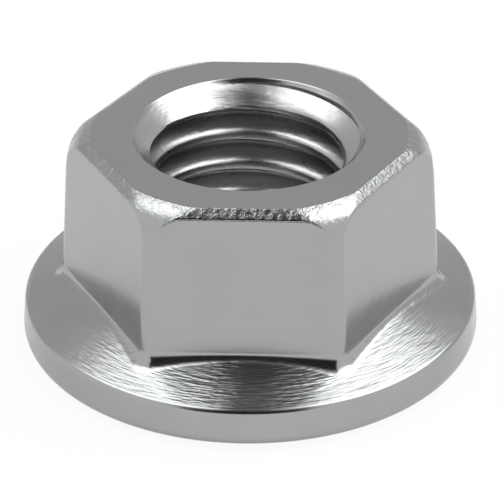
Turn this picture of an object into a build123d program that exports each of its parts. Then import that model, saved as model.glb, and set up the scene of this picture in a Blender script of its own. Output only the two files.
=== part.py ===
from build123d import *
from build123d.topology import SkipClean
from math import ceil, cos, pi, radians, sin, tan
import os

# Serrated hexagon flange nut, M8, coarse right-hand thread, all sizes in millimetres.
# The origin is the centre of the bearing face: the tips of the serrations lie in the
# plane Z = 0, the thread runs along +Z, and two of the hexagon's flats face -Y and +Y.

# ---- driving dimensions -------------------------------------------------------------
nut_height = 8.0

across_flats = 12.0             # over the flats where they leave the flange
flat_draft = 3.0                # degrees that each flat leans in on its way up
corner_radius = 0.55            # upright corners of the hexagon
foot_fillet = 0.3               # between the hexagon and the flange

bevel_width = 0.3               # of the bevel along each flat, seen from above
bevel_angle = 40.0              # degrees of that bevel below the top face
crown_inset = 0.35              # from the flats' foot in to the circle where the crown's cone starts
crown_angle = 22.0              # degrees of that cone below the top face
crown_depth = 1.5               # how far down the hexagon's corners are rolled
crown_lean = 8.0                # degrees from upright of the rolled corner's lower end
crown_roll = 1.2                # radius between the cone and the rolled corner

flange_diameter = 16.6
rim_height = 1.55               # upper edge of the rim above the serrations' tips
rim_lean = 4.5                  # degrees that the rim's side leans in on its way up
rim_edge_chamfer = 0.12         # on the rim's upper edge
rim_lower_radius = 0.4
flange_slope = 19.0             # degrees of the flange's upper face

thread_pitch = 1.25
thread_major_diameter = 8.0
thread_minor_diameter = 6.65
thread_angle = 60.0             # between the two flanks
thread_start = 111.0            # degrees round from +X where the groove passes Z = 0
top_mouth_diameter = 8.35       # countersink in the top face
bottom_mouth_diameter = 8.5     # countersink in the bearing face
countersink_angle = 90.0

serration_count = 24
serration_depth = 0.3           # from tip to root, at the outer circle
serration_stand = 0.12          # how far the tips stand below the plain land
serration_inner_diameter = 9.8
serration_outer_diameter = 15.4
serration_tip = 0.14            # width of the small flat on each tip, at the outer circle
serration_bite = 15.0           # degrees that the steep face leans back from upright

bore_sectors = 6                # the bore is cut as this many sectors
roll_share = 0.95               # most of the crown's cone that its roll may take up
overrun = 1.0                   # how far a cutter runs out of the body

# ---- what follows from them ---------------------------------------------------------
flange_radius = flange_diameter / 2
crown_radius = across_flats / 2 - crown_inset
minor_radius = thread_minor_diameter / 2
major_radius = thread_major_diameter / 2
serration_inner = serration_inner_diameter / 2
serration_outer = serration_outer_diameter / 2

# the rim's side is tangent to its lower rounding, whose outermost point is the flange's size
rim_slant = radians(rim_lean)
rim_centre = flange_radius - rim_lower_radius
rim_foot_radius = rim_centre + rim_lower_radius * (1 + sin(rim_slant)) / cos(rim_slant)
rim_edge_radius = rim_foot_radius - (rim_height - serration_stand) * tan(rim_slant)
flange_rise = tan(radians(flange_slope))

# The flats have their stated width where they meet the flange's cone; the hexagon
# itself starts lower, inside the flange.
foot_height = rim_height + (rim_edge_radius - across_flats / 2) * flange_rise
draft_rise = tan(radians(flat_draft))
base_apothem = across_flats / 2 + (foot_height - rim_height) * draft_rise
roll_height = nut_height - crown_depth
roll_apothem = base_apothem - (roll_height - rim_height) * draft_rise
roll_radius = roll_apothem / cos(pi / 6) - corner_radius * (1 / cos(pi / 6) - 1)
bevel_apothem = base_apothem - (nut_height - rim_height) * draft_rise - bevel_width

# ---- hexagon, with the crown its top was pressed to ----------------------------------
with BuildPart() as hexagon:
    with BuildSketch(Plane.XY.offset(rim_height)):
        RegularPolygon(radius=base_apothem, side_count=6, major_radius=False)
    extrude(amount=nut_height - rim_height, taper=flat_draft)
    upright_edges = hexagon.edges().filter_by_position(Axis.Z, rim_height + overrun, nut_height - overrun)
    fillet(upright_edges, corner_radius)
    with BuildSketch(Plane.XY.offset(nut_height)):
        RegularPolygon(radius=bevel_apothem, side_count=6, major_radius=False)
    extrude(amount=rim_height - nut_height, taper=bevel_angle - 90, mode=Mode.INTERSECT)

    lean_rise = tan(radians(crown_lean))
    cone_rise = tan(radians(crown_angle))
    # where the crown's cone would meet the line that leaves the rolled corner
    meet_radius = roll_radius + (roll_height - nut_height - crown_radius * cone_rise) * lean_rise
    meet_radius /= 1 - cone_rise * lean_rise
    meet_height = nut_height - (meet_radius - crown_radius) * cone_rise
    # the roll's radius is limited by the length of the cone that it starts from
    cone_length = (meet_radius - crown_radius) / cos(radians(crown_angle))
    half_turn = radians(90 - crown_angle - crown_lean) / 2
    roll = min(crown_roll, roll_share * cone_length / tan(half_turn))
    skirt_radius = meet_radius + (meet_height - rim_height + overrun) * lean_rise
    with BuildSketch(Plane.XZ) as crown_section:
        with BuildLine():
            Polyline(
                (0, nut_height),
                (crown_radius, nut_height),
                (meet_radius, meet_height),
                (skirt_radius, rim_height - overrun),
                (0, rim_height - overrun),
                close=True,
            )
        make_face()
        rolled_vertex = crown_section.vertices().sort_by_distance((meet_radius, meet_height))[0]
        fillet(rolled_vertex, roll)
    revolve(axis=Axis.Z, mode=Mode.INTERSECT)

# ---- one groove of the serrations --------------------------------------------------
# Every long edge of the groove runs towards the origin, so it gets shallower and
# narrower towards the thread. With the angle rising, the steep face comes first: it
# bites when the nut is turned off, and the ramp slides when the nut is turned on.
with BuildPart() as serration_groove:
    for radius in (serration_outer + overrun, serration_inner - overrun):
        share = radius / serration_outer
        half_width = (pi * serration_outer / serration_count - serration_tip / 2) * share
        depth = serration_depth * share
        with BuildSketch(Plane.YZ.offset(radius)):
            with BuildLine():
                Polyline(
                    (-half_width, 0),
                    (-half_width + depth * tan(radians(serration_bite)), depth),
                    (half_width, 0),
                    (half_width, -overrun),
                    (-half_width, -overrun),
                    close=True,
                )
            make_face()
    loft(ruled=True)
    # the ends of the groove slope up at 45 degrees, from just outside the raised ring
    with BuildSketch(Plane.XZ):
        with BuildLine():
            Polyline(
                (serration_inner - serration_stand - overrun, -overrun),
                (serration_inner - serration_stand + overrun, overrun),
                (serration_outer + serration_stand - overrun, overrun),
                (serration_outer + serration_stand + overrun, -overrun),
                close=True,
            )
        make_face()
    revolve(axis=Axis.Z, mode=Mode.INTERSECT)

# ---- one turn of the thread's groove, swept up a right-hand helix ------------------------
flank_rise = tan(radians(thread_angle / 2))
with BuildPart() as thread_turn:
    with BuildLine() as turn_path:
        Helix(pitch=thread_pitch, height=thread_pitch, radius=minor_radius)
    root_half_width = thread_pitch / 16
    inner_radius = minor_radius - thread_pitch / 8
    inner_half_width = root_half_width + (major_radius - inner_radius) * flank_rise
    with BuildSketch(Plane.XZ):
        with BuildLine():
            Polyline(
                (inner_radius, -inner_half_width),
                (major_radius, -root_half_width),
                (major_radius, root_half_width),
                (inner_radius, inner_half_width),
                close=True,
            )
        make_face()
    sweep(path=turn_path.wires()[0], is_frenet=True)
thread_turns = ceil(nut_height / thread_pitch) + 2

# ---- one sector of the bore --------------------------------------------------------------
with BuildPart() as bore_sector:
    with BuildSketch():
        with BuildLine():
            bore_arc = CenterArc((0, 0), minor_radius, 0, 360 / bore_sectors)
            Polyline(bore_arc @ 1, (0, 0), bore_arc @ 0)
        make_face()
    extrude(amount=nut_height)

# ---- the nut -------------------------------------------------------------------------
with BuildPart() as flange_nut:
    with BuildSketch(Plane.XZ) as flange_section:
        with BuildLine():
            Polyline(
                (0, serration_stand),
                (serration_inner - serration_stand, serration_stand),
                (serration_inner, 0),
                (serration_outer, 0),
                (serration_outer + serration_stand, serration_stand),
                (rim_foot_radius, serration_stand),
                (rim_edge_radius, rim_height),
                (crown_radius, rim_height + (rim_edge_radius - crown_radius) * flange_rise),
                (0, rim_height + (rim_edge_radius - crown_radius) * flange_rise),
                close=True,
            )
        make_face()
        rim_foot = flange_section.vertices().sort_by_distance((rim_foot_radius, serration_stand))[0]
        fillet(rim_foot, rim_lower_radius)
        rim_edge = flange_section.vertices().sort_by_distance((rim_edge_radius, rim_height))[0]
        chamfer(rim_edge, rim_edge_chamfer)
    revolve(axis=Axis.Z)
    add(hexagon.part)
    foot_edges = (
        flange_nut.edges()
        .filter_by_position(Axis.Z, (rim_height + foot_height) / 2, foot_height + foot_fillet)
        .filter_by(GeomType.LINE, reverse=True)
    )
    fillet(foot_edges, foot_fillet)

    # The bore is cut as equal sectors. Faces that lie in one surface aren't merged from
    # here on, so each turn of the thread's crest stays divided where the sectors meet.
    with SkipClean():
        with PolarLocations(0, bore_sectors):
            add(bore_sector.part, mode=Mode.SUBTRACT)

        mouth_rise = 1 / tan(radians(countersink_angle / 2))
        top_mouth = top_mouth_diameter / 2
        bottom_mouth = bottom_mouth_diameter / 2
        with BuildSketch(Plane.XZ):
            with BuildLine():
                Polyline(
                    (0, nut_height - top_mouth * mouth_rise),
                    (top_mouth + overrun, nut_height + overrun * mouth_rise),
                    (0, nut_height + overrun * mouth_rise),
                    close=True,
                )
            make_face()
            with BuildLine():
                Polyline(
                    (0, serration_stand + bottom_mouth * mouth_rise),
                    (bottom_mouth + overrun, serration_stand - overrun * mouth_rise),
                    (0, serration_stand - overrun * mouth_rise),
                    close=True,
                )
            make_face()
        revolve(axis=Axis.Z, mode=Mode.SUBTRACT)

        with PolarLocations(0, serration_count):
            add(serration_groove.part, mode=Mode.SUBTRACT)

        for turn in range(thread_turns):
            with Locations(Location((0, 0, (turn - 1) * thread_pitch), (0, 0, thread_start))):
                add(thread_turn.part, mode=Mode.SUBTRACT)

flange_nut.part.label = "flange_nut"
os.makedirs("parts", exist_ok=True)
export_step(flange_nut.part, "parts/flange_nut.step")
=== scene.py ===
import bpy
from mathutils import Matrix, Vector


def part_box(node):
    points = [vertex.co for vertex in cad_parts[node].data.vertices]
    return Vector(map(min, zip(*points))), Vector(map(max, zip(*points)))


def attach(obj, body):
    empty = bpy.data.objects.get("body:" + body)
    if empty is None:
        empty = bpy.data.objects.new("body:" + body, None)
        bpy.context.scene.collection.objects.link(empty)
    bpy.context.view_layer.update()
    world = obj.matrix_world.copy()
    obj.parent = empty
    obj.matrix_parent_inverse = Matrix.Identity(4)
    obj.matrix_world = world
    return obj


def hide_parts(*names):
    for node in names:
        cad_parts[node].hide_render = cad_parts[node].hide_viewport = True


bl_info = {
    "name": "Serrated Flange Nut",
    "version": (1, 0, 0),
    "blender": (4, 5, 0),
    "location": "3D View > Sidebar > Flange Nut",
    "description": "Makes a zinc-plated flange nut with its thread and serrations, and a studio for it",
    "category": "Add Mesh",
}

import math

import bmesh
import bpy
from bpy.props import FloatProperty, IntProperty, PointerProperty, StringProperty
from mathutils import Vector

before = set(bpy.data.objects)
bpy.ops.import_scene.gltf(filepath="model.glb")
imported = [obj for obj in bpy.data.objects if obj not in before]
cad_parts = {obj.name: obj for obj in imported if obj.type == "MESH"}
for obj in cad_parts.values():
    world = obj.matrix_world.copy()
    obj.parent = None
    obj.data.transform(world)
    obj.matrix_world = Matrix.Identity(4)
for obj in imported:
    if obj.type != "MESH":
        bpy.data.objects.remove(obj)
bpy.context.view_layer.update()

MM = 0.001
NODE = "flange_nut"
NUT_LOW, NUT_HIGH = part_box(NODE)

# The surface's zones: vertex attributes that the node trees and the finish read.
BORE, UNDERSIDE, FLANGE, CROWN = "bore", "underside", "flange", "crown"

# The kinds of ray that show a surface: from the camera, mirrored and refracted.
RAYS = ("Camera", "Glossy", "Transmission")

# The mesh's own fineness, which changes no size of the nut.
SUPPORT = 0.02 * MM                     # from a rounding's end to the row that keeps it crisp
WELD = 0.01 * MM                        # rows of the bore nearer than this to its end are that end
BORE_COLUMNS = 240
CLOSEST_COLUMNS = math.radians(0.12)    # the skin's columns are never nearer than this
SHARP_EDGE = math.radians(30)           # edges with a larger angle are shaded sharp


# ---- sizes and colours that a user would change -----------------------------------------
def length(name, description, size):
    """A length property; size is in millimetres."""
    return FloatProperty(
        name=name, description=description, default=size * MM,
        unit="LENGTH", subtype="DISTANCE", precision=6,
    )


def angle(name, description, degrees):
    """An angle property; it is stored in radians."""
    return FloatProperty(
        name=name, description=description, default=math.radians(degrees),
        unit="ROTATION", subtype="ANGLE",
    )


def plain(name, description, value):
    """A number without a unit."""
    return FloatProperty(name=name, description=description, default=value)


def hex_colour(name, description, value):
    """A colour as a web colour in sRGB, such as C0C4C8."""
    return StringProperty(name=name, description=description, default=value)


class FlangeNutBody(bpy.types.PropertyGroup):
    height: length("Height", "From the serrations' tips to the top face", (NUT_HIGH.z - NUT_LOW.z) / MM)
    flange_diameter: length("Flange diameter", "Over the rim's widest part", (NUT_HIGH.x - NUT_LOW.x) / MM)
    across_flats: length("Across flats", "Where the flats leave the flange", 12.0)
    flat_draft: angle("Draft", "How far each flat leans in on its way up", 3.0)
    corner_radius: length("Corner radius", "Of the hexagon's upright corners", 0.55)
    foot_fillet: length("Foot fillet", "Between the hexagon and the flange", 0.3)
    foot_growth: plain("Foot growth", "Share of the corners' lower foot that the fillet makes up for", 0.9)
    bevel_width: length("Bevel width", "Of the bevel along each flat, seen from above", 0.3)
    bevel_angle: angle("Bevel angle", "Of that bevel below the top face", 40.0)
    crown_inset: length("Crown inset", "From the flats' foot in to the circle where the cone starts", 0.35)
    crown_angle: angle("Crown angle", "Of the cone below the top face", 22.0)
    crown_depth: length("Crown depth", "How far down the corners are rolled", 1.5)
    crown_lean: angle("Crown lean", "Of the rolled corner's lower end, from upright", 8.0)
    crown_roll: length("Crown roll", "Radius between the cone and the rolled corner", 1.2)
    crown_blend: length("Crown blend", "Rounding where the crown meets the bevels", 0.08)
    crown_edge: length("Crown edge", "Rounding where the crown meets the flats", 0.1)
    top_edge: length("Top edge", "Rounding where the top face turns down", 0.08)
    mouth_edge: length("Mouth edge", "Rounding of the countersinks' rims", 0.03)
    rim_height: length("Rim height", "Upper edge of the rim above the tips", 1.55)
    rim_lean: angle("Rim lean", "How far the rim's side leans in on its way up", 4.5)
    rim_upper_radius: length("Upper rim radius", "Rounding of the rim's upper edge", 0.2)
    rim_lower_radius: length("Lower rim radius", "Rounding of the rim's lower edge", 0.4)
    flange_slope: angle("Flange slope", "Of the flange's upper face", 19.0)


class FlangeNutThread(bpy.types.PropertyGroup):
    pitch: length("Pitch", "Axial distance from one turn to the next", 1.25)
    major_diameter: length("Major diameter", "Over the thread's roots", 8.15)
    minor_diameter: length("Minor diameter", "Between the thread's crests", 6.75)
    flank_angle: angle("Flank angle", "Between the two flanks of the groove", 60.0)
    start: angle("Start", "Angle round from +X where the groove passes the tips' plane", -17.0)
    rounding: length("Rounding", "Blend at each crest's upper edge; a quarter of it elsewhere", 0.24)
    top_mouth: length("Top mouth", "Countersink's diameter in the top face", 8.35)
    bottom_mouth: length("Bottom mouth", "Countersink's diameter in the bearing face", 8.5)
    countersink: angle("Countersink", "Full angle of both countersinks", 90.0)


class FlangeNutSerrations(bpy.types.PropertyGroup):
    count: IntProperty(name="Count", description="Teeth round the bearing face", default=24, min=3)
    depth: length("Depth", "From tip to root at the outer circle", 0.3)
    stand: length("Stand", "How far the tips stand below the plain land", 0.12)
    inner_diameter: length("Inner diameter", "Where the teeth begin", 9.8)
    outer_diameter: length("Outer diameter", "Where the teeth end", 15.4)
    tip: length("Tip", "Width of each tip's flat at the outer circle", 0.14)
    bite: angle("Bite", "How far the steep face leans back from upright", 15.0)


class FlangeNutFinish(bpy.types.PropertyGroup):
    zinc: hex_colour("Zinc", "Colour of the plated surface", "AAACAC")
    dull: hex_colour("Dull zinc", "Colour where the plating is duller", "A0A2A1")
    # lighter than the zinc, so that the light bounced inside the bore comes out brighter: painted light
    bore: hex_colour("Bore", "Colour in the bore", "B0B2B1")
    roughness: plain("Roughness", "Of the plated surface", 0.2)
    bore_roughness: plain("Bore roughness", "How much duller the bore is", 0.08)
    cloud_roughness: plain("Cloud roughness", "How far the roughness swings from cloud to cloud", 0.12)
    ring_width: length("Ring width", "Of the turned rings on the flange and the scores in the bore", 0.09)
    streak_turn: plain("Streak turn", "Length of one streak of a ring, in radians", 0.1)
    ring_depth: length("Ring depth", "Of the flange's turned rings", 0.017)
    tap_depth: length("Tap depth", "Of the scores in the bore", 0.008)
    die_grain: length("Die grain", "Width of the crown's mottled marks", 0.22)
    die_depth: length("Die depth", "Of the crown's mottled marks", 0.035)
    die_reach: length("Die reach", "How far below the top face the marks fade out", 1.0)
    peel_width: length("Peel width", "Of the plating's faint unevenness", 1.1)
    peel_depth: length("Peel depth", "Of the plating's faint unevenness", 0.006)
    cloud_width: length("Cloud width", "Of the clouds in the plating's colour and roughness", 2.0)


class FlangeNutStudio(bpy.types.PropertyGroup):
    floor: hex_colour("Floor", "Colour of the floor", "FFFFFF")
    floor_glow: plain("Floor glow", "Share of the floor's colour that doesn't take the light", 0.93)
    floor_mirrored: plain("Mirrored floor", "The same share where the floor is mirrored", 0.48)
    backdrop: hex_colour("Backdrop", "Colour of the backdrop behind the nut", "D6D6D6")
    # dark sheets seen only in the metal's reflections: painted shade
    shade_card: hex_colour("Card", "Colour of the dark cards", "2C2C2C")
    plain_light: plain("Plain light", "Brightness of the light from all round, where 1 is white", 0.5)
    right_lamp: plain("Right lamp", "Brightness of the right softbox, where 1 is white", 1.9)
    left_lamp: plain("Left lamp", "Brightness of the left softbox, where 1 is white", 1.5)
    lamp_height: length("Lamp height", "Height of both softboxes", 500)


# ---- small helpers -------------------------------------------------------------------------
def linear(colour):
    """The linear colour, with alpha, of a web colour in sRGB."""
    channels = [int(colour[place:place + 2], 16) / 255 for place in (0, 2, 4)]
    return tuple(c / 12.92 if c <= 0.04045 else ((c + 0.055) / 1.055) ** 2.4 for c in channels) + (1.0,)


def add_node(tree, kind, inputs=None, **settings):
    """Adds a node. inputs gives each input, by name or number, a constant, a socket or a node."""
    node = tree.nodes.new(kind)
    for name, value in settings.items():
        setattr(node, name, value)
    for key, value in (inputs or {}).items():
        if isinstance(value, bpy.types.Node):
            value = value.outputs[0]
        if isinstance(value, bpy.types.NodeSocket):
            tree.links.new(value, node.inputs[key])
        else:
            node.inputs[key].default_value = value
    return node


def own_properties(group):
    """A property group's own properties, in order."""
    return [prop for prop in group.bl_rna.properties if prop.identifier not in ("rna_type", "name")]


def named_sizes(group):
    """A property group's numbers by the names that a user reads, for a node tree's inputs."""
    return {prop.name: float(getattr(group, prop.identifier)) for prop in own_properties(group)}


def follow_rule(tree, known, rows):
    """Adds one Math node for each row: its result's name, the operation, and what goes in.

    known maps names to sockets and gets each result too; other inputs are numbers.
    """
    for name, operation, *terms in rows:
        inputs = {place: known.get(term, term) for place, term in enumerate(terms)}
        known[name] = add_node(tree, "ShaderNodeMath", inputs, operation=operation).outputs[0]
    return known


# ---- the nut's outer skin -------------------------------------------------------------------
def arc(before, corner, after, radius, steps):
    """Points of a fillet at a corner of a profile, both tangent points included."""
    back = (before - corner).normalized()
    on = (after - corner).normalized()
    half = back.angle(on) / 2
    centre = corner + (back + on).normalized() * (radius / math.sin(half))
    spoke = corner + back * (radius / math.tan(half)) - centre
    turn = math.copysign(math.pi - 2 * half, on.cross(back))
    points = []
    for step in range(steps + 1):
        swing = turn * step / steps
        points.append(centre + Vector((
            spoke.x * math.cos(swing) - spoke.y * math.sin(swing),
            spoke.x * math.sin(swing) + spoke.y * math.cos(swing),
        )))
    return points


def stretch(start, end, rows):
    """Points between start and end, without them: one near each end, and rows spans between."""
    along = end - start
    quarter = 0.25
    near = min(SUPPORT / along.length, quarter)
    shares = [near + (1 - 2 * near) * row / rows for row in range(rows + 1)]
    return [start + along * share for share in shares]


def solve(function, low, high):
    """Where a rising function passes zero, by halving the span often enough for a float."""
    halvings = 48
    for _ in range(halvings):
        middle = (low + high) / 2
        if function(middle) < 0:
            low = middle
        else:
            high = middle
    return (low + high) / 2


class Outline:
    """The nut's section at any angle round the axis, as points (radius, height)."""

    def __init__(self, body, thread, serrations):
        self.body, self.thread, self.serrations = body, thread, serrations
        self.draft = math.tan(body.flat_draft)
        self.slope = math.tan(body.flange_slope)
        # the rim's side is tangent to its lower rounding, whose outermost point is the flange's size
        lean = body.rim_lean
        lower = body.rim_lower_radius
        rounding_centre = body.flange_diameter / 2 - lower
        self.rim_foot = rounding_centre + lower * (1 + math.sin(lean)) / math.cos(lean)
        self.rim_edge = self.rim_foot - (body.rim_height - serrations.stand) * math.tan(lean)
        half_flats = body.across_flats / 2
        foot_height = body.rim_height + (self.rim_edge - half_flats) * self.slope
        self.apothem = half_flats + (foot_height - body.rim_height) * self.draft
        self.foot_height = foot_height
        top_apothem = self.apothem - (body.height - body.rim_height) * self.draft
        self.bevel_start = top_apothem - body.bevel_width

        # the crown: a cone, the roll and the skirt below it
        self.crown_start = Vector((half_flats - body.crown_inset, body.height))
        roll_height = body.height - body.crown_depth
        narrowing = (roll_height - body.rim_height) * self.draft
        corner_loss = body.corner_radius * (1 / math.cos(math.pi / 6) - 1)
        roll_radius = (self.apothem - narrowing) / math.cos(math.pi / 6) - corner_loss
        self.cone_way = Vector((math.cos(body.crown_angle), -math.sin(body.crown_angle)))
        self.skirt_way = Vector((math.sin(body.crown_lean), -math.cos(body.crown_lean)))
        fall = Vector((roll_radius, roll_height)) - self.crown_start
        cone_length = fall.cross(self.skirt_way) / self.cone_way.cross(self.skirt_way)
        meet = self.crown_start + self.cone_way * cone_length
        self.roll_turn = math.pi / 2 - body.crown_angle - body.crown_lean
        reach = body.crown_roll * math.tan(self.roll_turn / 2)
        self.cone_length = cone_length - reach
        self.roll_length = body.crown_roll * self.roll_turn
        self.roll_start = meet - self.cone_way * reach
        self.roll_centre = self.roll_start + Vector((self.cone_way.y, -self.cone_way.x)) * body.crown_roll
        self.skirt_start = meet + self.skirt_way * reach

    def hexagon(self, turn, height):
        """(radius, angle between the surface's normal and the radius) of the drafted hexagon."""
        narrowing = (height - self.body.rim_height) * self.draft
        apothem = self.apothem - narrowing
        radius = self.body.corner_radius
        off_flat = self.off_flat(turn)
        core = apothem - radius
        if off_flat <= math.atan2(core * math.tan(math.pi / 6), apothem):
            return apothem / math.cos(off_flat), off_flat
        to_corner = math.pi / 6 - off_flat
        centre = core / math.cos(math.pi / 6)
        across = centre * math.sin(to_corner)
        return centre * math.cos(to_corner) + math.sqrt(radius**2 - across**2), math.asin(across / radius)

    def off_flat(self, turn):
        """Angle from the middle of the nearest flat."""
        sixth = math.pi / 3
        return abs(turn % sixth - sixth / 2)

    def crown(self, distance):
        """(point, direction) on the crown, at a distance along it from the top face."""
        if distance < self.cone_length:
            return self.crown_start + self.cone_way * distance, self.cone_way
        distance -= self.cone_length
        if distance < self.roll_length:
            swing = distance / self.body.crown_roll
            lean = self.body.crown_angle + swing
            way = Vector((math.cos(lean), -math.sin(lean)))
            return self.roll_centre - Vector((way.y, -way.x)) * self.body.crown_roll, way
        return self.skirt_start + self.skirt_way * (distance - self.roll_length), self.skirt_way

    def cap(self, turn, distance):
        """The crown's point, moved in to the nearest flat's bevel where that lies lower."""
        point, _ = self.crown(distance)
        fall = self.body.height - point.y
        bevel = (self.bevel_start + fall / math.tan(self.body.bevel_angle)) / math.cos(self.off_flat(turn))
        blend = self.body.crown_blend
        overlap = max(blend - abs(bevel - point.x), 0) / blend
        return Vector((min(bevel, point.x) - overlap**2 * blend / 4, point.y))

    def column(self, turn):
        """The skin's points at one angle, from the top countersink to the bottom one.

        Each is (point, zone); the underside's heights are left to the serrations' tree.
        """
        body = self.body
        top = body.height
        land = self.serrations.stand

        def past_crown(distance):
            point = self.cap(turn, distance)
            return point.x - self.hexagon(turn, point.y)[0]

        def past_foot(height):
            cone = self.rim_edge - (height - body.rim_height) / self.slope
            return self.hexagon(turn, height)[0] - cone

        # the section's corners, from the top down: mouth, edge, brink, foot and the rim's two
        brink_distance = solve(past_crown, 0, self.cone_length + self.roll_length + 1 * MM)
        brink = self.cap(turn, brink_distance)
        brink_way = (brink - self.cap(turn, brink_distance - SUPPORT)).normalized()
        edge = self.cap(turn, 0)
        edge_way = (self.cap(turn, SUPPORT) - edge).normalized()
        foot_height = solve(past_foot, body.rim_height, top / 2)
        foot_radius, skew = self.hexagon(turn, foot_height)
        foot = Vector((foot_radius, foot_height))
        rim_edge = Vector((self.rim_edge, body.rim_height))
        rim_foot = Vector((self.rim_foot, land))
        mouth = Vector((self.thread.top_mouth / 2, top))
        # the skin ends just inside the countersinks, and a ring of triangles joins it to the bore
        lead = 2 * body.mouth_edge
        start = mouth - Vector((lead, lead))

        # their roundings
        mouth_arc = arc(start, mouth, edge, body.mouth_edge, steps=3)
        top_arc = arc(mouth, edge, edge + edge_way, body.top_edge, steps=3)
        brink_skew = self.hexagon(turn, brink.y)[1]
        brink_arc = arc(brink - brink_way, brink, foot, body.crown_edge / math.cos(brink_skew), steps=5)
        # the fillet starts at one height all round, so it is larger where the foot lies lower
        opening = (rim_edge - foot).angle(brink - foot) / 2
        fillet = body.foot_fillet + body.foot_growth * (self.foot_height - foot_height) * math.tan(opening)
        foot_arc = arc(brink, foot, rim_edge, fillet / math.cos(skew), steps=9)
        edge_arc = arc(foot, rim_edge, rim_foot, body.rim_upper_radius, steps=6)
        lower_arc = arc(rim_edge, rim_foot, Vector((0, land)), body.rim_lower_radius, steps=8)

        # the crown's rows, between its two roundings
        crown_from = (top - top_arc[-1].y) / math.sin(body.crown_angle)
        crown_to = brink_distance
        while self.cap(turn, crown_to).y < brink_arc[0].y:
            crown_to -= SUPPORT / 2
        crown_rows = 12
        span = crown_to - crown_from
        shares = [SUPPORT / span, *(row / crown_rows for row in range(1, crown_rows)), 1 - SUPPORT / span]
        crown = [self.cap(turn, crown_from + span * share) for share in shares]

        rows = [(start, "")]
        rows += [(point, "") for point in mouth_arc]
        rows += [(point, "") for point in stretch(mouth_arc[-1], top_arc[0], rows=3)]
        rows += [(point, CROWN) for point in (*top_arc, *crown, *brink_arc)]
        rows += [(point, "") for point in stretch(brink_arc[-1], foot_arc[0], rows=8)]
        half_arc = len(foot_arc) // 2 - 1
        rows += [(point, "") for point in foot_arc[:half_arc]]
        rows += [(point, FLANGE) for point in foot_arc[half_arc:]]
        rows += [(point, FLANGE) for point in stretch(foot_arc[-1], edge_arc[0], rows=5)]
        rows += [(point, "") for point in edge_arc]
        rows += [(point, "") for point in stretch(edge_arc[-1], lower_arc[0], rows=2)]
        rows += [(point, "") for point in lower_arc]
        rows += [(Vector((radius, land)), UNDERSIDE) for radius in self.underside_radii()]
        bottom = Vector((self.thread.bottom_mouth / 2, land))
        end = bottom + Vector((-lead, lead))
        bottom_arc = arc(rim_foot, bottom, end, body.mouth_edge, steps=3)
        rows += [(point, "") for point in (*bottom_arc, end)]
        return rows

    def underside_radii(self):
        """Radii of the underside's rows: close where the grooves rise at their two ends."""
        cut = self.serrations
        outer = cut.outer_diameter / 2 + cut.stand
        inner = cut.inner_diameter / 2 - cut.stand
        # measured in stands: the ring's slope ends at 1, and the grooves' slopes further in
        steps = (0, 0.5, 1, 1.35, 1.7, 2.05, 2.4, 2.6)
        inner_steps = steps[:6]
        outer_rows = [outer - cut.stand * step for step in steps]
        inner_rows = [inner + cut.stand * step for step in reversed(inner_steps)]
        gap = outer_rows[-1] - inner_rows[0]
        return [*outer_rows, *(outer_rows[-1] - gap * share for share in (0.2, 0.4, 0.6, 0.8)), *inner_rows]


def column_angles(outline):
    """Angles of the skin's columns: the edges of each serration, and a finer set at the corners."""
    cut = outline.serrations
    outer = cut.outer_diameter / 2
    cell = math.tau / cut.count
    half_width = math.pi * outer / cut.count - cut.tip / 2
    groove = math.atan(half_width / outer)
    root = math.atan((half_width - cut.depth * math.tan(cut.bite)) / outer)
    ramp_columns = 9
    in_cell = [-cell / 2, -groove, -root]
    in_cell += [-root + (groove + root) * step / ramp_columns for step in range(1, ramp_columns + 1)]
    angles = [cell * tooth + offset for tooth in range(cut.count) for offset in in_cell]
    corner_span = math.radians(2.4)     # half the angle that a rounded corner takes up
    corner_columns = 8
    for corner in range(6):
        middle = math.pi / 3 * corner
        for step in range(-corner_columns, corner_columns + 1):
            angles.append(middle + corner_span * step / corner_columns)
    kept = []
    for turn in sorted(a % math.tau for a in angles):
        if not kept or turn - kept[-1] > CLOSEST_COLUMNS:
            kept.append(turn)
    if kept[0] + math.tau - kept[-1] < CLOSEST_COLUMNS:
        kept.pop()
    return kept


def add_skin(mesh, outline, zones):
    """Adds the outer skin and returns its first and last rings as (angle, vertex)."""
    grid = []
    turns = column_angles(outline)
    for turn in turns:
        column = []
        for point, zone in outline.column(turn):
            vertex = mesh.verts.new((point.x * math.cos(turn), point.x * math.sin(turn), point.y))
            for name, layer in zones.items():
                vertex[layer] = 1.0 if name == zone else 0.0
            column.append(vertex)
        grid.append(column)
    for place, column in enumerate(grid):
        following = grid[(place + 1) % len(grid)]
        for row in range(len(column) - 1):
            mesh.faces.new((column[row], column[row + 1], following[row + 1], following[row]))
    top = [(turn, column[0]) for turn, column in zip(turns, grid)]
    bottom = [(turn, column[-1]) for turn, column in zip(turns, grid)]
    return top, bottom


# ---- the bore's helical grid ------------------------------------------------------------------
def groove_rows(thread):
    """Axial distances of the rows from the groove's centre, over one pitch."""
    # from the groove's centre to the root's corner and to the crest's, and each one's rounding
    root = thread.pitch / 16
    crest = root + (thread.major_diameter - thread.minor_diameter) / 2 * math.tan(thread.flank_angle / 2)
    soft = thread.rounding / 2
    root_soft = thread.rounding / 8
    half = [0, root - root_soft, root, root + root_soft]
    half += [root + root_soft + (crest - soft - root - root_soft) * share for share in (0.33, 0.67, 1)]
    half += [crest - soft / 2, crest, crest + soft / 2, crest + soft]
    return [-distance for distance in reversed(half[1:])] + half + [thread.pitch / 2]


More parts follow.
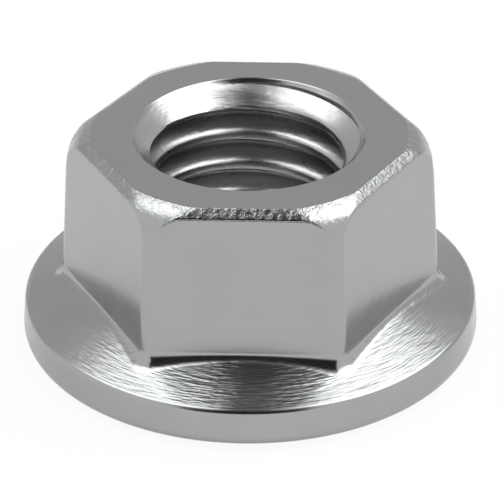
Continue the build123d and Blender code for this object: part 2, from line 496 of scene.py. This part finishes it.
def add_bore(mesh, outline, zones):
    """Adds the bore as a grid whose rows climb with the thread, and returns its two end rings."""
    thread, body = outline.thread, outline.body
    lead = 5 * body.mouth_edge      # deeper in the countersinks than the skin's ends
    low = outline.serrations.stand + lead
    high = body.height - lead
    radius = thread.minor_diameter / 2
    offsets = groove_rows(thread)
    per_turn = len(offsets)
    turns = math.ceil(body.height / thread.pitch) + 2
    ends = {}
    grid = []
    for place in range(BORE_COLUMNS + 1):
        turn = math.tau * place / BORE_COLUMNS
        climb = (turn - thread.start) / math.tau * thread.pitch
        spot = (radius * math.cos(turn), radius * math.sin(turn))
        column = []
        for row in range(turns * per_turn):
            whole, part = divmod(row, per_turn)
            height = climb + (whole - 1) * thread.pitch + offsets[part]
            if low + WELD < height < high - WELD:
                column.append(mesh.verts.new((*spot, height)) if place < BORE_COLUMNS else None)
                continue
            level = low if height <= low + WELD else high
            key = (place % BORE_COLUMNS, level)
            if key not in ends:
                ends[key] = mesh.verts.new((*spot, level))
            column.append(ends[key])
        grid.append(column)
    # the last column is the first one, a whole turn further up
    for row in range(turns * per_turn):
        if grid[BORE_COLUMNS][row] is None:
            grid[BORE_COLUMNS][row] = grid[0][row + per_turn]
    for column, following in zip(grid, grid[1:]):
        for row in range(len(column) - 1):
            corners = (column[row], following[row], following[row + 1], column[row + 1])
            distinct = list(dict.fromkeys(corners))
            if len(distinct) > 2:
                mesh.faces.new(distinct)
    for vertex in {v for column in grid for v in column}:
        vertex[zones[BORE]] = 1.0
    return [
        [(math.tau * place / BORE_COLUMNS, ends[(place, level)]) for place in range(BORE_COLUMNS)]
        for level in (high, low)
    ]


def bridge(mesh, ring, other):
    """Joins two rings of (angle, vertex), which may differ in number, with triangles."""
    place = other_place = 0
    while place < len(ring) or other_place < len(other):
        here, there = ring[place % len(ring)][1], other[other_place % len(other)][1]
        turn, following = ring[(place + 1) % len(ring)]
        other_turn, other_following = other[(other_place + 1) % len(other)]
        turn += math.tau * ((place + 1) // len(ring))
        other_turn += math.tau * ((other_place + 1) // len(other))
        if other_place >= len(other) or (place < len(ring) and turn <= other_turn):
            mesh.faces.new((here, there, following))
            place += 1
        else:
            mesh.faces.new((here, there, other_following))
            other_place += 1


# ---- node trees: the thread and the serrations ------------------------------------------------
# Each rule's rows are Math nodes, and names with a capital are the tree's inputs. The vertex
# goes to "new x", "new y" and "new z".
THREAD_RULE = (
    ("turn", "ARCTAN2", "y", "x"),
    ("from start", "SUBTRACT", "turn", "Start"),
    ("turns", "DIVIDE", "from start", math.tau),
    ("groove height", "MULTIPLY", "turns", "Pitch"),
    ("above groove", "SUBTRACT", "z", "groove height"),
    ("half pitch", "MULTIPLY", "Pitch", 0.5),
    ("minus half", "MULTIPLY", "Pitch", -0.5),
    ("offset", "WRAP", "above groove", "half pitch", "minus half"),
    ("distance", "ABSOLUTE", "offset"),
    ("root half", "DIVIDE", "Pitch", 16.0),
    ("past root", "SUBTRACT", "distance", "root half"),
    ("half angle", "MULTIPLY", "Flank angle", 0.5),
    ("flank rise", "TANGENT", "half angle"),
    ("fall", "DIVIDE", "past root", "flank rise"),
    ("major", "MULTIPLY", "Major diameter", 0.5),
    ("minor", "MULTIPLY", "Minor diameter", 0.5),
    ("flank", "SUBTRACT", "major", "fall"),
    ("root edge", "MULTIPLY", "Rounding", 0.25),
    ("groove", "SMOOTH_MIN", "flank", "major", "root edge"),
    # the crest's upper edge, below the groove, is rounded most
    ("below groove", "LESS_THAN", "offset", 0.0),
    ("crest edge", "MULTIPLY_ADD", "below groove", 0.75, 0.25),
    ("crest edge", "MULTIPLY", "crest edge", "Rounding"),
    ("thread", "SMOOTH_MAX", "groove", "minor", "crest edge"),
    ("half sink", "MULTIPLY", "Countersink", 0.5),
    ("sink rise", "TANGENT", "half sink"),
    ("below top", "SUBTRACT", "Height", "z"),
    ("top fall", "MULTIPLY", "below top", "sink rise"),
    ("top mouth", "MULTIPLY", "Top mouth", 0.5),
    ("top cone", "SUBTRACT", "top mouth", "top fall"),
    ("above land", "SUBTRACT", "z", "Land"),
    ("bottom fall", "MULTIPLY", "above land", "sink rise"),
    ("bottom mouth", "MULTIPLY", "Bottom mouth", 0.5),
    ("bottom cone", "SUBTRACT", "bottom mouth", "bottom fall"),
    ("cones", "MAXIMUM", "top cone", "bottom cone"),
    ("edge", "MULTIPLY", "Rounding", 0.15),
    ("wall", "SMOOTH_MAX", "thread", "cones", "edge"),
    ("new x", "COSINE", "turn"),
    ("new x", "MULTIPLY", "new x", "wall"),
    ("new y", "SINE", "turn"),
    ("new y", "MULTIPLY", "new y", "wall"),
    ("new z", "ADD", "z", 0.0),
)

SERRATION_RULE = (
    ("turn", "ARCTAN2", "y", "x"),
    ("x squared", "MULTIPLY", "x", "x"),
    ("radius", "MULTIPLY_ADD", "y", "y", "x squared"),
    ("radius", "SQRT", "radius"),
    ("outer", "MULTIPLY", "Outer diameter", 0.5),
    ("inner", "MULTIPLY", "Inner diameter", 0.5),
    ("cell half", "DIVIDE", math.pi, "Count"),
    ("minus cell half", "MULTIPLY", "cell half", -1.0),
    ("in cell", "WRAP", "turn", "cell half", "minus cell half"),
    ("slant", "TANGENT", "in cell"),
    ("across", "MULTIPLY", "slant", "outer"),
    ("tip half", "MULTIPLY", "Tip", 0.5),
    ("half width", "MULTIPLY", "cell half", "outer"),
    ("half width", "SUBTRACT", "half width", "tip half"),
    ("bite rise", "TANGENT", "Bite"),
    ("past steep", "ADD", "across", "half width"),
    ("steep", "DIVIDE", "past steep", "bite rise"),
    ("steep width", "MULTIPLY", "Depth", "bite rise"),
    ("ramp width", "MULTIPLY", "half width", 2.0),
    ("ramp width", "SUBTRACT", "ramp width", "steep width"),
    ("ramp left", "SUBTRACT", "half width", "across"),
    ("ramp", "DIVIDE", "ramp left", "ramp width"),
    ("ramp", "MULTIPLY", "ramp", "Depth"),
    ("roof", "MINIMUM", "steep", "ramp"),
    ("roof", "MAXIMUM", "roof", 0.0),
    ("share", "DIVIDE", "radius", "outer"),
    ("roof", "MULTIPLY", "roof", "share"),
    ("to outer end", "SUBTRACT", "outer", "radius"),
    ("outer end", "ADD", "to outer end", "Stand"),
    ("past inner", "SUBTRACT", "radius", "inner"),
    ("inner end", "ADD", "past inner", "Stand"),
    ("roof", "MINIMUM", "roof", "outer end"),
    ("roof", "MINIMUM", "roof", "inner end"),
    ("out of ring", "MINIMUM", "to outer end", "past inner"),
    ("ring", "MULTIPLY", "out of ring", -1.0),
    ("ring", "MAXIMUM", "ring", 0.0),
    ("ring", "MINIMUM", "ring", "Stand"),
    ("new x", "ADD", "x", 0.0),
    ("new y", "ADD", "y", 0.0),
    ("new z", "MAXIMUM", "ring", "roof"),
)


def shaping_tree(name, zone, inputs, rule, material):
    """A node tree that moves a zone's vertices to where its rule puts them."""
    tree = bpy.data.node_groups.new(name, "GeometryNodeTree")
    tree.interface.new_socket("Geometry", in_out="INPUT", socket_type="NodeSocketGeometry")
    tree.interface.new_socket("Geometry", in_out="OUTPUT", socket_type="NodeSocketGeometry")
    for label, value in inputs.items():
        socket = tree.interface.new_socket(label, in_out="INPUT", socket_type="NodeSocketFloat")
        socket.default_value = value
    source = add_node(tree, "NodeGroupInput")
    place = add_node(tree, "ShaderNodeSeparateXYZ", {0: add_node(tree, "GeometryNodeInputPosition")})
    known = {label: source.outputs[label] for label in inputs}
    known.update(zip("xyz", place.outputs))
    follow_rule(tree, known, rule)
    moved = add_node(tree, "ShaderNodeCombineXYZ", {axis: known["new " + "xyz"[axis]] for axis in range(3)})
    chosen = add_node(tree, "GeometryNodeInputNamedAttribute", {"Name": zone}, data_type="FLOAT")
    shaped = add_node(tree, "GeometryNodeSetPosition", {
        "Geometry": source.outputs["Geometry"], "Selection": chosen, "Position": moved,
    })
    real = add_node(tree, "GeometryNodeRealizeInstances", {"Geometry": shaped})
    painted = add_node(tree, "GeometryNodeSetMaterial", {"Geometry": real, "Material": material})
    add_node(tree, "NodeGroupOutput", {"Geometry": painted})
    return tree


def add_shaping(piece, tree, inputs):
    """Puts a shaping tree on a piece, with its inputs set by their sockets' identifiers."""
    modifier = piece.modifiers.new(tree.name, "NODES")
    modifier.node_group = tree
    for item in tree.interface.items_tree:
        if item.in_out == "INPUT" and item.name in inputs:
            modifier[item.identifier] = inputs[item.name]


def made_plain(piece):
    """Turns a piece and its modifiers' result into a plain mesh."""
    shaped = piece.evaluated_get(bpy.context.evaluated_depsgraph_get())
    result = bpy.data.meshes.new_from_object(shaped)
    old = piece.data
    piece.modifiers.clear()
    piece.data = result
    bpy.data.meshes.remove(old)


# ---- finish -----------------------------------------------------------------------------------
def zinc_plated_steel(finish):
    """Bright zinc electroplate on cold-formed steel.

    The plating is a few micrometres thick, so it follows the tool marks under it. The
    flange's cone shows the fine, broken rings of the tool that turned the forming die, and
    the crown the mottled print of its pressed edge: both tear the lamps' reflections into
    short streaks. The flats were sheared smooth and mirror softly, with faint clouds. The
    tapped bore is a little duller, and scored along the thread; its colour is lighter than the
    zinc, as painted light that brightens the light bounced inside it. Real rings are finer;
    they are drawn as coarse as they need to be to show. A noise's scale is 1 / its features' size.
    """
    material = bpy.data.materials.new("zinc_plated_steel")
    material.use_nodes = True
    tree = material.node_tree
    tree.nodes.clear()
    here = add_node(tree, "ShaderNodeTexCoord").outputs["Object"]
    place = add_node(tree, "ShaderNodeSeparateXYZ", {0: here})
    zones = {
        name: add_node(tree, "ShaderNodeAttribute", attribute_name=name).outputs["Fac"]
        for name in (BORE, FLANGE, CROWN)
    }
    known = {"x": place.outputs["X"], "y": place.outputs["Y"], "z": place.outputs["Z"], **zones}
    follow_rule(tree, known, (
        ("x squared", "MULTIPLY", "x", "x"),
        ("squares", "MULTIPLY_ADD", "y", "y", "x squared"),
        ("radius", "SQRT", "squares"),
        ("turn", "ARCTAN2", "y", "x"),
        ("cosine", "COSINE", "turn"),
        ("sine", "SINE", "turn"),
        # one streak is this many radians long, and one ring this wide
        ("round x", "DIVIDE", "cosine", finish.streak_turn),
        ("round y", "DIVIDE", "sine", finish.streak_turn),
        ("rings", "DIVIDE", "radius", finish.ring_width),
        ("scores", "DIVIDE", "z", finish.ring_width),
    ))
    turned, tapped = (
        add_node(tree, "ShaderNodeCombineXYZ", {0: known["round x"], 1: known["round y"], 2: known[marks]})
        for marks in ("rings", "scores")
    )
    noises = {
        "ring marks": {"Vector": turned, "Scale": 1.0, "Detail": 2.0},
        "tap marks": {"Vector": tapped, "Scale": 1.0, "Detail": 1.0},
        "die marks": {
            "Vector": here, "Scale": 1 / finish.die_grain,
            "Detail": 3.0, "Roughness": 0.6, "Distortion": 0.8,
        },
        "peel": {"Vector": here, "Scale": 1 / finish.peel_width, "Detail": 2.0},
        "clouds": {"Vector": here, "Scale": 1 / finish.cloud_width, "Detail": 4.0},
    }
    for name, inputs in noises.items():
        known[name] = add_node(tree, "ShaderNodeTexNoise", inputs).outputs["Fac"]
    follow_rule(tree, known, (
        ("on flange", "MULTIPLY", "ring marks", FLANGE),
        ("on flange", "MULTIPLY", "on flange", finish.ring_depth),
        ("in bore", "MULTIPLY", "tap marks", BORE),
        ("in bore", "MULTIPLY", "in bore", finish.tap_depth),
        ("on crown", "MULTIPLY", "die marks", CROWN),
        ("above fade", "SUBTRACT", "z", NUT_HIGH.z - finish.die_reach),
        ("fade", "DIVIDE", "above fade", finish.die_reach),
        ("fade", "MAXIMUM", "fade", 0.0),
        ("on crown", "MULTIPLY", "on crown", "fade"),
        ("on crown", "MULTIPLY", "on crown", finish.die_depth),
        ("everywhere", "MULTIPLY", "peel", finish.peel_depth),
        ("height", "ADD", "on flange", "in bore"),
        ("height", "ADD", "height", "on crown"),
        ("height", "ADD", "height", "everywhere"),
        ("cloudiness", "SUBTRACT", "clouds", 0.5),
        ("rough", "MULTIPLY_ADD", "cloudiness", finish.cloud_roughness, finish.roughness),
        ("rough", "MULTIPLY_ADD", BORE, finish.bore_roughness, "rough"),
    ))
    tint = add_node(tree, "ShaderNodeMix", {
        "Factor": known["clouds"], "A": linear(finish.dull), "B": linear(finish.zinc),
    }, data_type="RGBA")
    # in the bore the colour is lighter than the zinc: painted light that brightens the light bounced inside
    # it
    painted_light_bore_tint = add_node(tree, "ShaderNodeMix", {
        "Factor": zones[BORE], "A": tint.outputs["Result"], "B": linear(finish.bore),
    }, data_type="RGBA")
    relief = add_node(tree, "ShaderNodeBump", {"Strength": 1.0, "Distance": 1.0, "Height": known["height"]})
    metal = add_node(tree, "ShaderNodeBsdfPrincipled", {
        "Base Color": painted_light_bore_tint.outputs["Result"], "Metallic": 1.0,
        "Roughness": known["rough"], "Normal": relief,
    })
    add_node(tree, "ShaderNodeOutputMaterial", {"Surface": metal})
    return material


# ---- operators ----------------------------------------------------------------------------------
class MESH_OT_serrated_flange_nut(bpy.types.Operator):
    """Adds the nut: its outer skin, its threaded bore and the serrations underneath"""

    bl_idname = "mesh.serrated_flange_nut"
    bl_label = "Add Serrated Flange Nut"
    bl_options = {"REGISTER", "UNDO"}

    def execute(self, context):
        scene = context.scene
        body, thread, cut = scene.nut_body, scene.nut_thread, scene.nut_serrations
        outline = Outline(body, thread, cut)
        mesh = bmesh.new()
        zones = {name: mesh.verts.layers.float.new(name) for name in (BORE, UNDERSIDE, FLANGE, CROWN)}
        skin_top, skin_bottom = add_skin(mesh, outline, zones)
        bore_top, bore_bottom = add_bore(mesh, outline, zones)
        bridge(mesh, skin_top, bore_top)
        bridge(mesh, skin_bottom, bore_bottom)
        bmesh.ops.recalc_face_normals(mesh, faces=mesh.faces)
        if any(not edge.is_manifold for edge in mesh.edges):
            raise RuntimeError("the nut's mesh is open")
        data = bpy.data.meshes.new("serrated_flange_nut")
        mesh.to_mesh(data)
        mesh.free()
        piece = bpy.data.objects.new("serrated_flange_nut", data)
        scene.collection.objects.link(piece)

        material = zinc_plated_steel(scene.nut_finish)
        thread_sizes = {**named_sizes(thread), "Height": body.height, "Land": cut.stand}
        shapings = (
            ("internal thread", BORE, thread_sizes, THREAD_RULE),
            ("serrations", UNDERSIDE, named_sizes(cut), SERRATION_RULE),
        )
        for name, zone, inputs, rule in shapings:
            add_shaping(piece, shaping_tree(name, zone, inputs, rule, material), inputs)
        made_plain(piece)
        piece.data.shade_smooth()
        piece.data.set_sharp_from_angle(angle=SHARP_EDGE)
        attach(piece, "root")
        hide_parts(NODE)
        return {"FINISHED"}


class SCENE_OT_flange_nut_studio(bpy.types.Operator):
    """Adds the camera, the floor, the backdrop, the dark cards that paint shade into the metal's
    reflections, and the two softboxes
    """

    bl_idname = "scene.flange_nut_studio"
    bl_label = "Add Studio"
    bl_options = {"REGISTER", "UNDO"}

    def execute(self, context):
        scene = context.scene
        studio = scene.nut_studio
        self.add_camera(scene)
        self.add_world(scene, studio)
        self.add_sheets(studio)
        self.add_lamps(scene, studio)
        scene.view_settings.view_transform = "Standard"
        return {"FINISHED"}

    def add_camera(self, scene):
        """A long lens that looks down on the front flat, a little from the right."""
        azimuth, elevation, roll = math.radians(2.49), math.radians(30.92), math.radians(-0.32)
        distance = 112.6 * MM
        aim = Vector((0, 0, 3.125 * MM))
        picture_width, focal_length = 500, 3099.2       # in pixels
        level = math.cos(elevation)
        back = Vector((math.sin(azimuth) * level, -math.cos(azimuth) * level, math.sin(elevation)))
        data = bpy.data.cameras.new("camera")
        data.lens = focal_length / picture_width * data.sensor_width
        data.clip_start = 10 * MM
        camera = bpy.data.objects.new("camera", data)
        camera.location = aim + back * distance
        camera.rotation_euler = (-back).to_track_quat("-Z", "Y").to_euler()
        camera.rotation_euler.rotate_axis("Z", roll)
        scene.collection.objects.link(camera)
        scene.camera = camera

    def add_world(self, scene, studio):
        """A plain light from all round, which shows as white."""
        world = bpy.data.worlds.new("studio")
        world.use_nodes = True
        tree = world.node_tree
        tree.nodes.clear()
        light = add_node(tree, "ShaderNodeLightPath")
        shown = follow_rule(tree, {kind: light.outputs[f"Is {kind} Ray"] for kind in RAYS}, (
            ("seen", "MAXIMUM", "Camera", "Glossy"),
            ("shown", "MAXIMUM", "seen", "Transmission"),
        ))["shown"]
        lit, backing = (
            add_node(tree, "ShaderNodeBackground", {"Color": linear("FFFFFF"), "Strength": strength})
            for strength in (studio.plain_light, 1.0)
        )
        mixed = add_node(tree, "ShaderNodeMixShader", {0: shown, 1: lit, 2: backing})
        add_node(tree, "ShaderNodeOutputWorld", {"Surface": mixed})
        scene.world = world

    def add_sheets(self, studio):
        """The floor, the backdrop and two dark cards that only the metal shows, as painted shade in its
        reflections.
        """
        # just below the tips, so that the two surfaces don't share a plane
        level = NUT_LOW.z - 0.01 * MM
        floor = self.sheet("floor", (3, -3, level), (3, 3, level))
        self.paint(floor, studio.floor, studio.floor_glow, studio.floor_mirrored)
        backdrop = self.sheet("backdrop", (2.5, 0.9, 0), (2.5, 0.9, 1.8))
        self.paint(backdrop, studio.backdrop)
        backdrop.visible_camera = False

        # the overhead card, painted shade in the metal's reflections: just over the softboxes, and narrower
        # to the back, where the rings are brighter
        near, far = (Vector(edge) * studio.lamp_height for edge in ((0.26, -1.2, 1.02), (0.04, 1.0, 1.02)))
        strip = self.sheet("overhead_shade_sheet", near, far)
        front = self.sheet("front_shade_sheet", (0.26, -0.5, 0.02), (0.26, -0.3, 0.6))
        # both cards are painted shade: dark sheets that only the metal's reflections show
        for shade_card in (strip, front):
            self.paint(shade_card, studio.shade_card)
            shade_card.visible_camera = False
            shade_card.visible_shadow = False
            shade_card.visible_diffuse = False

    def sheet(self, name, near, far):
        """A flat sheet of the stage between two edges, each (half its width, y, z), facing the nut."""
        walk = ((near, -1), (near, 1), (far, 1), (far, -1))
        corners = [(side * half, y, z) for (half, y, z), side in walk]
        data = bpy.data.meshes.new(name)
        data.from_pydata(corners, [], [range(len(corners))])
        data.update()
        middle = (NUT_LOW + NUT_HIGH) / 2
        if data.polygons[0].normal.dot(middle - data.polygons[0].center) < 0:
            data.flip_normals()
        thing = bpy.data.objects.new(name, data)
        bpy.context.scene.collection.objects.link(thing)
        return thing

    def paint(self, thing, colour, glow=1.0, mirrored=1.0):
        """A matt colour that partly glows: one share where it is seen, another where it is mirrored."""
        material = bpy.data.materials.new(thing.name)
        material.use_nodes = True
        tree = material.node_tree
        tree.nodes.clear()
        matt = add_node(tree, "ShaderNodeBsdfDiffuse", {"Color": linear(colour)})
        bright = add_node(tree, "ShaderNodeEmission", {"Color": linear(colour), "Strength": 1.0})
        light = add_node(tree, "ShaderNodeLightPath")
        share = follow_rule(tree, {kind: light.outputs[f"Is {kind} Ray"] for kind in RAYS}, (
            ("seen", "MULTIPLY", "Camera", glow),
            ("share", "MULTIPLY_ADD", "Glossy", mirrored, "seen"),
        ))["share"]
        front = add_node(tree, "ShaderNodeMixShader", {0: share, 1: matt, 2: bright})
        # a sheet shows from its front only, so that the nut can be looked at from below
        behind = add_node(tree, "ShaderNodeNewGeometry").outputs["Backfacing"]
        clear = add_node(tree, "ShaderNodeBsdfTransparent")
        mixed = add_node(tree, "ShaderNodeMixShader", {0: behind, 1: front, 2: clear})
        add_node(tree, "ShaderNodeOutputMaterial", {"Surface": mixed})
        thing.data.materials.append(material)

    def add_lamps(self, scene, studio):
        """Two oval softboxes that hang over the left and the right, with a gap between them."""
        height = studio.lamp_height
        # centres and sizes are shares of their height
        softboxes = (
            ("right_softbox", studio.right_lamp, (0.84, 0.2), (1.3, 1.4)),
            ("left_softbox", studio.left_lamp, (-0.5, 0.1), (0.76, 1.0)),
        )
        for name, brightness, centre, size in softboxes:
            data = bpy.data.lights.new(name, "AREA")
            data.shape = "ELLIPSE"
            data.size, data.size_y = (side * height for side in size)
            data.energy = brightness * math.pi * data.size * data.size_y
            lamp = bpy.data.objects.new(name, data)
            lamp.location = (centre[0] * height, centre[1] * height, height)
            scene.collection.objects.link(lamp)


class VIEW3D_PT_flange_nut(bpy.types.Panel):
    """Sizes, finish and buttons of the flange nut"""

    bl_idname = "VIEW3D_PT_flange_nut"
    bl_label = "Serrated Flange Nut"
    bl_space_type = "VIEW_3D"
    bl_region_type = "UI"
    bl_category = "Flange Nut"

    def draw(self, context):
        layout = self.layout
        layout.use_property_split = True
        for name, (title, _) in GROUPS.items():
            box = layout.box()
            box.label(text=title)
            group = getattr(context.scene, name)
            for prop in own_properties(group):
                box.prop(group, prop.identifier)
        layout.operator(MESH_OT_serrated_flange_nut.bl_idname)
        layout.operator(SCENE_OT_flange_nut_studio.bl_idname)


# each property group's name on the scene, its title in the panel and its class
GROUPS = {
    "nut_body": ("Body", FlangeNutBody),
    "nut_thread": ("Thread", FlangeNutThread),
    "nut_serrations": ("Serrations", FlangeNutSerrations),
    "nut_finish": ("Finish", FlangeNutFinish),
    "nut_studio": ("Studio", FlangeNutStudio),
}
CLASSES = (
    *(group for _, group in GROUPS.values()),
    MESH_OT_serrated_flange_nut, SCENE_OT_flange_nut_studio, VIEW3D_PT_flange_nut,
)


def register():
    for cls in CLASSES:
        bpy.utils.register_class(cls)
    for name, (_, group) in GROUPS.items():
        setattr(bpy.types.Scene, name, PointerProperty(type=group))


def unregister():
    for name in GROUPS:
        delattr(bpy.types.Scene, name)
    for cls in reversed(CLASSES):
        bpy.utils.unregister_class(cls)


def main():
    register()
    bpy.ops.scene.flange_nut_studio()
    bpy.ops.mesh.serrated_flange_nut()


if __name__ == "__main__":
    main()
